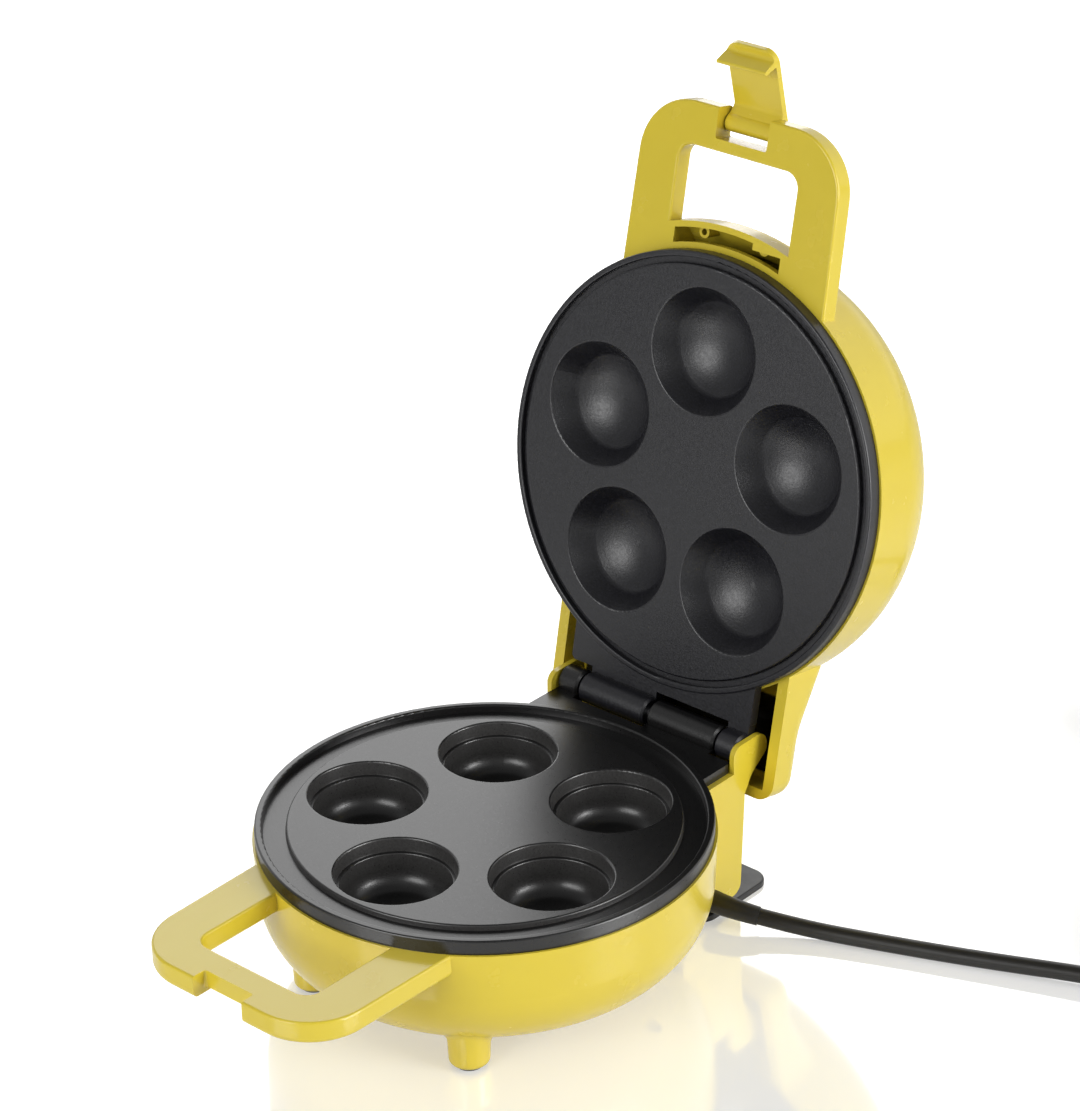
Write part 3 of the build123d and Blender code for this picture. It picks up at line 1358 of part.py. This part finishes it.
def main():
    base_place = Pos(0, PLATE_Y, FLOOR_H)
    opening = about_x(HINGE_Y, -HINGE_D, -OPEN_ANGLE)
    lid_place = base_place * opening
    latch_swing = about_x(LATCH_PIVOT_Y, LATCH_PIVOT_D + PLATE_GAP, -LATCH_OPEN)

    base_half = {
        "base_shell": base_shell(),
        "lower_plate": lower_plate(),
        "lower_heater": heater(),
        "lower_reflector": reflector(BASE_POST_D, SCREW_R + SCREW_FIT),
        "lower_plate_screws": plate_screws(),
        "front_foot_pads": front_foot_pads(),
        "rear_foot": rear_foot(),
        "rear_foot_screws": rear_foot_screws(),
        "hinge_pin": hinge_pin(),
        "thermostat": thermostat(),
        "thermostat_screws": thermostat_screws(),
        "terminal_block": terminal_block(),
    }
    lid_half = {
        "lid_shell": lid_shell(),
        "upper_plate": upper_plate(),
        "upper_heater": heater(),
        "upper_reflector": reflector(LID_POST_D, STUD_R + STUD_FIT),
        "power_lens": lens(-LENS_X),
        "ready_lens": lens(LENS_X),
        "indicator_lamps": indicator_lamps(),
        "latch_pin": latch_pin(),
    }
    nodes = {name: base_place * on_base(shape) for name, shape in base_half.items()}
    nodes |= {name: lid_place * on_lid(shape) for name, shape in lid_half.items()}
    nodes["latch"] = lid_place * latch_swing * on_lid(latch())

    wound, path = coil()
    leaving = path @ 1
    heading = (path % 1).normalized()
    print("tail from", leaving, heading)
    tail_route = [tuple(leaving), tuple(leaving + heading * TAIL_LEAD)] + TAIL_ROUTE
    entry = Vector(*tail_route[-1])
    into = entry - Vector(*tail_route[-2])
    level = Vector(into.X, into.Y, 0)
    angle = Vector(1, 0, 0).get_signed_angle(level, Vector(0, 0, 1))
    body, pins = plug(angle, entry)
    nodes["strain_relief"] = base_place * strain_relief()
    nodes["cord_tie"] = base_place * cord_tie()
    nodes["power_cord"] = base_place * tube(CORD_ROUTE, CORD_R)
    nodes["cord_coil"] = base_place * wound
    nodes["cord_tail"] = base_place * tube(tail_route, CORD_R)
    nodes["plug_body"] = base_place * body
    nodes["plug_pins"] = base_place * pins

    for name, shape in nodes.items():
        export_step(shape, f"parts/{name}.step")
        box_of = shape.bounding_box()
        print(name, len(shape.solids()), round(shape.volume), box_of.min, box_of.max)


main()
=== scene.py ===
"""Mini cupcake maker: finishes, cord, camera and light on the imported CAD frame."""
import json
from math import atan2, cos, pi, radians, sin

import bpy
from mathutils import Matrix, Vector


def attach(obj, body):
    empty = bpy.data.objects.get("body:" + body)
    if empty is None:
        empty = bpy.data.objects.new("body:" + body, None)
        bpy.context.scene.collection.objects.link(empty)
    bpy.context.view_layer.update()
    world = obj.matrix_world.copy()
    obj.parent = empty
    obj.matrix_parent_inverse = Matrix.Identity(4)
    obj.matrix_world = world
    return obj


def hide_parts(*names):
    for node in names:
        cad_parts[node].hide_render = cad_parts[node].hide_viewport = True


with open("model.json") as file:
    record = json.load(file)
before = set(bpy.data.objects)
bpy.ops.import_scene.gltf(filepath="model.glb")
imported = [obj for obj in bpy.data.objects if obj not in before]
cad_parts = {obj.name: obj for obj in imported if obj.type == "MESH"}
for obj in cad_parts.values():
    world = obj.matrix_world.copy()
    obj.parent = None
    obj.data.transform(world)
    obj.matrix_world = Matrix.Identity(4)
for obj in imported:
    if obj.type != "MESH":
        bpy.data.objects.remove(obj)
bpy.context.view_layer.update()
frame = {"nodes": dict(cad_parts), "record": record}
nodes = frame["nodes"]

MM = 0.001

# Places shared with the model, in metres
PLATE_Y = -24.3 * MM
FLOOR_H = 68.0 * MM
# Painted light greys the lower plate's upright faces within this radius
CUPS_WITHIN = 80.0 * MM

# The hood's inner wall behind the hinge, about a line along X; its forward faces carry painted
# shade
HOOD_WALL = (0, 100.0 * MM, 63.0 * MM)
HOOD_WALL_R = 18.0 * MM
HOOD_WALL_HALF = 54.0 * MM

# The photograph's camera, measured about the plate's centre
CAMERA_AZIMUTH = radians(41.697)
CAMERA_ELEVATION = radians(27.238)
CAMERA_ROLL = radians(-1.038)
CAMERA_AT = Vector((839.635, -907.330, 749.619)) * MM
SENSOR = 36.0
FOCAL_PX = 3694.878
FRAME_LONG_PX = 1111

# The cord as in part.py: its route in millimetres about the plate's centre
CORD_R = 3.5 * MM
CORD_ROUTE = [
    (69.0, 86.0, -61.0),
    (84.6, 93.6, -63.7),
    (108.6, 103.6, -64.5),
    (150.0, 120.4, -64.5),
    (190.0, 137.3, -63.45),
    (230.0, 153.1, -63.45),
]
COIL_R = 42.0 * MM
COIL_STEP = 7.7 * MM
COIL_RISE = 7.6 * MM
COIL_TURNS_IN = 1.5
COIL_TURNS_UP = 0.5
COIL_TURNS_OUT = 1.25
COIL_POINTS_PER_TURN = 16
TAIL_LEAD = 24.0 * MM
TAIL_ROUTE = [
    (247.0, 262.0, -63.0),
    (231.0, 287.0, -64.5),
    (203.0, 303.0, -49.5),
    (172.0, 309.0, -49.5),
]

# Lamps: name, place, target, size in metres, power in watts
MIDDLE = (0, 0, 0.12)
LID_MIDDLE = (0, 0.08, 0.25)
LAMPS = [
    ("key", (2.0, 0.55, 0.7), MIDDLE, (1.0, 1.2), 33),
    ("front", (-0.12, -1.83, 0.83), LID_MIDDLE, (1.2, 1.2), 21),
    ("backdrop", (-1.9, 1.95, 1.25), MIDDLE, (1.5, 2.2), 16),
]

# The world: its light on the object, and what glosses show of it.
# Heights are in degrees above the horizon, levels are 1 for white.
WORLD_LIGHT = 0.2
SKY_WHITE_TO = 34
SKY_DIM_FROM = 62
SKY_BEHIND = 1.0
SKY_OVERHEAD = 0.2
SKY_IN_FRONT = 0.3
FRONT_TO_Y = -0.45
BEHIND_FROM_Y = 0.05

# The floor: glows go from one distance and level to another, in metres
FLOOR_SIZE = 30
FLOOR_GREY = 0.9
FLOOR_GLOSS = 0.35
FLOOR_GLOSS_ROUGHNESS = 0.07
MIRRORED_GLOW = {"near": 0.35, "far": 0.8, "low": 0.45, "high": 0.0}
SEEN_GLOW = {"near": 0.24, "far": 0.42, "low": 0.6, "high": 1.1}


def plate_frame(point):
    """A point given about the lower plate's centre, in the row frame."""
    return Vector(point) + Vector((0, PLATE_Y, FLOOR_H))


def make_camera():
    """The photograph's camera, fitted to the edges of the cooker."""
    azimuth, elevation = CAMERA_AZIMUTH, CAMERA_ELEVATION
    back = Vector((sin(azimuth) * cos(elevation), -cos(azimuth) * cos(elevation), sin(elevation)))
    right = Vector((cos(azimuth), sin(azimuth), 0))
    up = back.cross(right)
    rolled_right = right * cos(CAMERA_ROLL) + up * sin(CAMERA_ROLL)
    rolled_up = up * cos(CAMERA_ROLL) - right * sin(CAMERA_ROLL)
    data = bpy.data.cameras.new("camera")
    data.sensor_width = SENSOR
    data.lens = FOCAL_PX * SENSOR / FRAME_LONG_PX
    camera = bpy.data.objects.new("camera", data)
    bpy.context.scene.collection.objects.link(camera)
    turn = Matrix((rolled_right, rolled_up, back)).transposed().to_4x4()
    camera.matrix_world = Matrix.Translation(plate_frame(CAMERA_AT)) @ turn
    bpy.context.scene.camera = camera


def coil_place(centre, start_angle, low, turns):
    """A point of the coil: in along the lower layer, up, out along the upper."""
    reversal = COIL_TURNS_IN + COIL_TURNS_UP / 2
    radius = COIL_R - COIL_STEP * (reversal - abs(turns - reversal))
    climbed = min(max((turns - COIL_TURNS_IN) / COIL_TURNS_UP, 0), 1)
    height = COIL_RISE * (1 - cos(pi * climbed)) / 2
    angle = start_angle + 2 * pi * turns
    aside = Vector((cos(angle), sin(angle), 0)) * radius
    return centre + aside + Vector((0, 0, low + height))


def cord_points():
    """The cord's free stretch, its coil and its tail to the plug."""
    route = [plate_frame(Vector(point) * MM) for point in CORD_ROUTE]
    heading = (route[-1] - route[-2]).normalized()
    entry = route[-1] + heading * (2 * CORD_R)
    centre = entry + Vector((-heading.y, heading.x, 0)) * COIL_R
    centre.z = 0
    start_angle = atan2(heading.y, heading.x) - pi / 2
    total = COIL_TURNS_IN + COIL_TURNS_UP + COIL_TURNS_OUT
    count = round(total * COIL_POINTS_PER_TURN)
    turns = [
        coil_place(centre, start_angle, entry.z, total * i / count) for i in range(count + 1)
    ]
    leaving = (turns[-1] - turns[-2]).normalized()
    leaving.z = 0
    tail_start = turns[-1] + leaving * (2 * CORD_R)
    tail = [tail_start + leaving * TAIL_LEAD]
    tail += [plate_frame(Vector(point) * MM) for point in TAIL_ROUTE]
    return route + turns + tail


def make_cord(material):
    """One curve for the three cord solids, sheathed in one material."""
    points = cord_points()
    data = bpy.data.curves.new("mains_cord", "CURVE")
    data.dimensions = "3D"
    spline = data.splines.new("NURBS")
    spline.points.add(len(points) - 1)
    for spot, point in zip(spline.points, points):
        spot.co = (*point, 1)
    spline.order_u = 3
    spline.use_endpoint_u = True
    spline.resolution_u = 8
    data.bevel_depth = CORD_R
    data.bevel_resolution = 6
    data.use_fill_caps = True
    cord = bpy.data.objects.new("mains_cord", data)
    bpy.context.scene.collection.objects.link(cord)
    data.materials.append(material)
    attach(cord, "base")
    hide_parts("power_cord", "cord_coil", "cord_tail")


def srgb(red, green, blue):
    """A colour given as it looks, from 0 to 255, as Blender's linear values."""
    def linear(value):
        value /= 255
        if value <= 0.04045:
            return value / 12.92
        return ((value + 0.055) / 1.055) ** 2.4

    return (linear(red), linear(green), linear(blue), 1.0)


def darker(color, share):
    """A share of a colour's light."""
    return tuple(channel * share for channel in color[:3]) + (1.0,)


class Finish:
    """A principled material with its texture nodes."""

    def __init__(self, name, color, roughness, metallic=0.0, ior=1.5):
        self.material = bpy.data.materials.new(name)
        self.material.use_nodes = True
        self.tree = self.material.node_tree
        self.shader = self.tree.nodes["Principled BSDF"]
        self.color = color
        self.set("Base Color", color)
        self.set("Roughness", roughness)
        self.set("Metallic", metallic)
        self.set("IOR", ior)
        self.space = self.tree.nodes.new("ShaderNodeTexCoord")
        self.place = self.space.outputs["Object"]
        self.paint = None
        self.height = None

    def set(self, socket, value):
        self.shader.inputs[socket].default_value = value

    def link(self, source, target):
        self.tree.links.new(source, target)

    def noise(self, size, detail=3.0):
        """Noise whose features are about size metres across."""
        node = self.tree.nodes.new("ShaderNodeTexNoise")
        node.inputs["Scale"].default_value = 1 / size
        node.inputs["Detail"].default_value = detail
        self.link(self.place, node.inputs["Vector"])
        return node.outputs["Fac"]

    def spread(self, source, low, high, from_low=0.3, from_high=0.7):
        """The source's range turned into the range from low to high."""
        node = self.tree.nodes.new("ShaderNodeMapRange")
        node.inputs["From Min"].default_value = from_low
        node.inputs["From Max"].default_value = from_high
        node.inputs["To Min"].default_value = low
        node.inputs["To Max"].default_value = high
        self.link(source, node.inputs["Value"])
        return node.outputs["Result"]

    def math(self, operation, first, second=None):
        """One step of arithmetic on one or two sockets."""
        node = self.tree.nodes.new("ShaderNodeMath")
        node.operation = operation
        self.link(first, node.inputs[0])
        if second:
            self.link(second, node.inputs[1])
        return node.outputs["Value"]

    def vector(self, operation, source, other=None):
        """A node for one step of vector arithmetic, with a fixed second vector."""
        node = self.tree.nodes.new("ShaderNodeVectorMath")
        node.operation = operation
        self.link(source, node.inputs[0])
        if other is not None:
            node.inputs[1].default_value = other
        return node

    def axis(self, source, name):
        """One component, X, Y or Z, of a vector socket."""
        node = self.tree.nodes.new("ShaderNodeSeparateXYZ")
        self.link(source, node.inputs["Vector"])
        return node.outputs[name]

    def openness(self, reach):
        """1 on open faces, less where others close them in within a reach."""
        node = self.tree.nodes.new("ShaderNodeAmbientOcclusion")
        node.samples = 4
        node.inputs["Distance"].default_value = reach
        return node.outputs["AO"]

    def upright_near(self, centre, radius):
        """1 on upright faces within a radius of a centre, else 0."""
        away = self.vector("DISTANCE", self.place, centre).outputs["Value"]
        near = self.spread(away, 1, 0, radius - MM, radius)
        flat = self.math("ABSOLUTE", self.axis(self.space.outputs["Normal"], "Z"))
        upright = self.spread(flat, 1, 0, from_low=0.35, from_high=0.8)
        return self.math("MULTIPLY", near, upright)

    def facing_forward(self):
        """1 on faces that look forward in the rest pose, else 0."""
        back = self.axis(self.space.outputs["Normal"], "Y")
        return self.spread(back, 1, 0, from_low=-0.7, from_high=-0.55)

    def near_line(self, point, radius, half_length):
        """1 near a line along X through a point, else 0."""
        aside = self.vector("SUBTRACT", self.place, point).outputs["Vector"]
        across = self.vector("MULTIPLY", aside, (0, 1, 1)).outputs["Vector"]
        away = self.vector("LENGTH", across).outputs["Value"]
        near = self.spread(away, 1, 0, radius - MM, radius)
        sideways = self.math("ABSOLUTE", self.axis(self.place, "X"))
        within = self.spread(sideways, 1, 0, half_length - MM, half_length)
        return self.math("MULTIPLY", near, within)

    def blend(self, factor, other):
        """Another colour over the present one, as far as the factor says."""
        mix = self.tree.nodes.new("ShaderNodeMix")
        mix.data_type = "RGBA"
        self.link(factor, mix.inputs["Factor"])
        mix.inputs["A"].default_value = self.color
        if self.paint:
            self.link(self.paint, mix.inputs["A"])
        mix.inputs["B"].default_value = other
        self.paint = mix.outputs["Result"]
        self.link(self.paint, self.shader.inputs["Base Color"])

    def vary_color(self, size, other, amount=1.0):
        """The base colour drifts towards another one, in patches of that size."""
        self.blend(self.spread(self.noise(size), 0, amount), other)

    def vary_roughness(self, size, low, high):
        """The roughness drifts between two values, in patches of that size."""
        self.link(self.spread(self.noise(size), low, high), self.shader.inputs["Roughness"])

    def bump(self, size, depth, detail=3.0):
        """Surface relief, in metres across and deep; each one adds to the last."""
        node = self.tree.nodes.new("ShaderNodeBump")
        node.inputs["Distance"].default_value = depth
        self.link(self.noise(size, detail), node.inputs["Height"])
        if self.height:
            self.link(self.height, node.inputs["Normal"])
        self.height = node.outputs["Normal"]
        self.link(self.height, self.shader.inputs["Normal"])


def yellow_plastic():
    """Glossy moulded plastic, with painted shade in crevice corners and on the hood's inner wall
    behind the hinge.
    """
    finish = Finish("yellow_plastic", srgb(227, 204, 61), roughness=0.25)
    finish.vary_color(size=0.05, other=srgb(225, 201, 57))
    # Painted shade: faces closed in by others darken towards a dark olive.
    openness = finish.openness(reach=0.012)
    painted_crevice_shade = finish.spread(openness, 0.6, 0, from_low=0.1, from_high=0.45)
    finish.blend(painted_crevice_shade, srgb(66, 58, 14))
    # Painted shade: forward faces of the hood's inner wall behind the hinge turn nearly black.
    behind_hinge = finish.near_line(HOOD_WALL, HOOD_WALL_R, HOOD_WALL_HALF)
    wall = finish.math("MULTIPLY", behind_hinge, finish.facing_forward())
    finish.blend(wall, srgb(24, 23, 18))
    finish.vary_roughness(size=0.012, low=0.22, high=0.28)
    finish.bump(size=0.004, depth=0.00001, detail=1.0)
    finish.set("Coat Weight", 0.35)
    finish.set("Coat Roughness", 0.08)
    return finish.material


def nonstick_black():
    """The lower plate's semi-gloss coat, with grainy painted light that greys the upright faces
    of its cups.
    """
    finish = Finish("nonstick_black", srgb(11, 11, 11), roughness=0.3, ior=1.68)
    finish.vary_color(size=0.0008, other=srgb(17, 16, 16))
    # Painted light: upright faces of the cups get a lighter, grainy grey.
    painted_wall_light = finish.upright_near(plate_frame((0, 0, 0)), CUPS_WITHIN)
    grain = finish.spread(finish.noise(size=0.0007), 0.5, 1)
    finish.blend(finish.math("MULTIPLY", painted_wall_light, grain), srgb(68, 67, 66))
    finish.vary_roughness(size=0.0008, low=0.27, high=0.33)
    finish.bump(size=0.0005, depth=0.000006)
    return finish.material


def nonstick_charcoal():
    """The upper plate's speckled coat."""
    finish = Finish("nonstick_charcoal", srgb(8, 8, 11), roughness=0.38, ior=1.66)
    finish.vary_color(size=0.0009, other=srgb(22, 22, 30))
    finish.vary_roughness(size=0.0012, low=0.32, high=0.45)
    finish.bump(size=0.0009, depth=0.00007)
    return finish.material


def steel(name, color, roughness):
    """Bare metal with a slight grain."""
    finish = Finish(name, color, roughness, metallic=1.0)
    finish.vary_roughness(size=0.003, low=roughness - 0.06, high=roughness + 0.08)
    finish.bump(size=0.0005, depth=0.000005)
    return finish.material


def plain(name, color, roughness, grain=0.0008, depth=0.00001):
    """Moulded plastic, rubber or ceramic."""
    finish = Finish(name, color, roughness)
    finish.vary_color(size=0.01, other=darker(color, 0.85))
    finish.vary_roughness(size=0.004, low=roughness - 0.05, high=roughness + 0.05)
    finish.bump(size=grain, depth=depth)
    return finish.material


def tinted(name, color):
    """A lens or lamp that lets light through."""
    finish = Finish(name, color, roughness=0.12)
    finish.set("Transmission Weight", 0.7)
    finish.vary_color(size=0.004, other=darker(color, 0.8))
    finish.bump(size=0.001, depth=0.00002)
    return finish.material


def make_materials():
    """A finish for each material slot of the record."""
    return {
        "yellow_plastic": yellow_plastic(),
        "nonstick_black": nonstick_black(),
        "nonstick_charcoal": nonstick_charcoal(),
        "heater_steel": steel("heater_steel", srgb(120, 112, 104), 0.45),
        "sheet_steel": steel("sheet_steel", srgb(205, 205, 204), 0.3),
        "zinc_steel": steel("zinc_steel", srgb(176, 176, 178), 0.32),
        "pad_rubber": plain("pad_rubber", srgb(34, 34, 35), 0.75),
        "black_plastic": plain("black_plastic", srgb(38, 38, 40), 0.4),
        "thermostat_ceramic": plain("thermostat_ceramic", srgb(226, 220, 205), 0.5),
        "white_plastic": plain("white_plastic", srgb(232, 232, 228), 0.4),
        "black_cord": plain("black_cord", srgb(24, 22, 18), 0.4),
        "tie_strap": plain("tie_strap", srgb(40, 40, 42), 0.55, grain=0.0005),
        "nickel_pins": steel("nickel_pins", srgb(205, 202, 194), 0.22),
        "red_lens": tinted("red_lens", srgb(200, 30, 22)),
        "green_lens": tinted("green_lens", srgb(40, 170, 70)),
        "lamp_glass": tinted("lamp_glass", srgb(245, 225, 200)),
    }


def dress_nodes(materials):
    """Each CAD node takes the finish of its slot in the record."""
    for part in frame["record"]["subparts"]:
        node = nodes[part["node"]]
        node.data.materials.clear()
        node.data.materials.append(materials[part["material_slot"]])


def area_light(name, place, target, size, power):
    """A rectangular lamp turned towards its target."""
    data = bpy.data.lights.new(name, "AREA")
    data.shape = "RECTANGLE"
    data.size, data.size_y = size
    data.energy = power
    light = bpy.data.objects.new(name, data)
    bpy.context.scene.collection.objects.link(light)
    light.location = place
    light.rotation_mode = "QUATERNION"
    light.rotation_quaternion = (Vector(target) - Vector(place)).to_track_quat("-Z", "Y")


def make_lights():
    """A key from the right, a front light for the lid and a panel behind."""
    for lamp in LAMPS:
        area_light(*lamp)


def mix_levels(tree, factor, low, high):
    """low where the factor is 0, high where it is 1; each a number or a socket."""
    node = tree.nodes.new("ShaderNodeMix")
    tree.links.new(factor, node.inputs["Factor"])
    for name, level in (("A", low), ("B", high)):
        if isinstance(level, float):
            node.inputs[name].default_value = level
        else:
            tree.links.new(level, node.inputs[name])
    return node.outputs["Result"]


def by_ray(tree, lighting, mirrored, seen):
    """One level for light on the object, one for its glosses, one for the camera."""
    paths = tree.nodes.new("ShaderNodeLightPath")
    bounced = tree.nodes.new("ShaderNodeMath")
    bounced.operation = "MAXIMUM"
    tree.links.new(paths.outputs["Is Glossy Ray"], bounced.inputs[0])
    tree.links.new(paths.outputs["Is Transmission Ray"], bounced.inputs[1])
    level = mix_levels(tree, bounced.outputs["Value"], lighting, mirrored)
    return mix_levels(tree, paths.outputs["Is Camera Ray"], level, seen)


def fade(tree, source, near, far, low, high):
    """A level that goes from low to high as the source goes from near to far."""
    node = tree.nodes.new("ShaderNodeMapRange")
    node.interpolation_type = "SMOOTHSTEP"
    node.inputs["From Min"].default_value = near
    node.inputs["From Max"].default_value = far
    node.inputs["To Min"].default_value = low
    node.inputs["To Max"].default_value = high
    tree.links.new(source, node.inputs["Value"])
    return node.outputs["Result"]


def sky_level(tree):
    """The studio as glosses show it: white behind, dim in front and overhead."""
    place = tree.nodes.new("ShaderNodeTexCoord").outputs["Generated"]
    axes = tree.nodes.new("ShaderNodeSeparateXYZ")
    tree.links.new(place, axes.inputs["Vector"])
    white, dim = sin(radians(SKY_WHITE_TO)), sin(radians(SKY_DIM_FROM))
    behind = fade(tree, axes.outputs["Z"], white, dim, SKY_BEHIND, SKY_OVERHEAD)
    ahead = fade(tree, axes.outputs["Y"], FRONT_TO_Y, BEHIND_FROM_Y, 0.0, 1.0)
    return mix_levels(tree, ahead, SKY_IN_FRONT, behind)


def make_world():
    """White to the camera, dim to the object and a studio to its glosses."""
    world = bpy.data.worlds.new("studio")
    bpy.context.scene.world = world
    world.use_nodes = True
    tree = world.node_tree
    background = tree.nodes["Background"]
    background.inputs["Color"].default_value = (1, 1, 1, 1)
    strength = by_ray(tree, WORLD_LIGHT, sky_level(tree), 1.0)
    tree.links.new(strength, background.inputs["Strength"])


def make_floor():
    """A glossy white table that looks white where nothing shades it."""
    bpy.ops.mesh.primitive_plane_add(size=FLOOR_SIZE)
    floor = bpy.context.object
    floor.name = "floor"
    material = bpy.data.materials.new("floor")
    material.use_nodes = True
    tree = material.node_tree
    tree.nodes.remove(tree.nodes["Principled BSDF"])
    matte = tree.nodes.new("ShaderNodeBsdfDiffuse")
    matte.inputs["Color"].default_value = (FLOOR_GREY, FLOOR_GREY, FLOOR_GREY, 1)
    glow = tree.nodes.new("ShaderNodeEmission")
    away = tree.nodes.new("ShaderNodeVectorMath")
    away.operation = "LENGTH"
    place = tree.nodes.new("ShaderNodeTexCoord").outputs["Object"]
    tree.links.new(place, away.inputs[0])
    mirrored = fade(tree, away.outputs["Value"], **MIRRORED_GLOW)
    seen = fade(tree, away.outputs["Value"], **SEEN_GLOW)
    tree.links.new(by_ray(tree, 0.0, mirrored, seen), glow.inputs["Strength"])
    lit = tree.nodes.new("ShaderNodeAddShader")
    tree.links.new(matte.outputs["BSDF"], lit.inputs[0])
    tree.links.new(glow.outputs["Emission"], lit.inputs[1])
    gloss = tree.nodes.new("ShaderNodeBsdfGlossy")
    gloss.inputs["Roughness"].default_value = FLOOR_GLOSS_ROUGHNESS
    mix = tree.nodes.new("ShaderNodeMixShader")
    mix.inputs["Fac"].default_value = FLOOR_GLOSS
    tree.links.new(lit.outputs["Shader"], mix.inputs[1])
    tree.links.new(gloss.outputs["BSDF"], mix.inputs[2])
    out = tree.nodes["Material Output"]
    tree.links.new(mix.outputs["Shader"], out.inputs["Surface"])
    floor.data.materials.append(material)


make_camera()
finishes = make_materials()
make_cord(finishes["black_cord"])
dress_nodes(finishes)
make_lights()
make_world()
make_floor()
bpy.context.scene.view_settings.view_transform = "Standard"
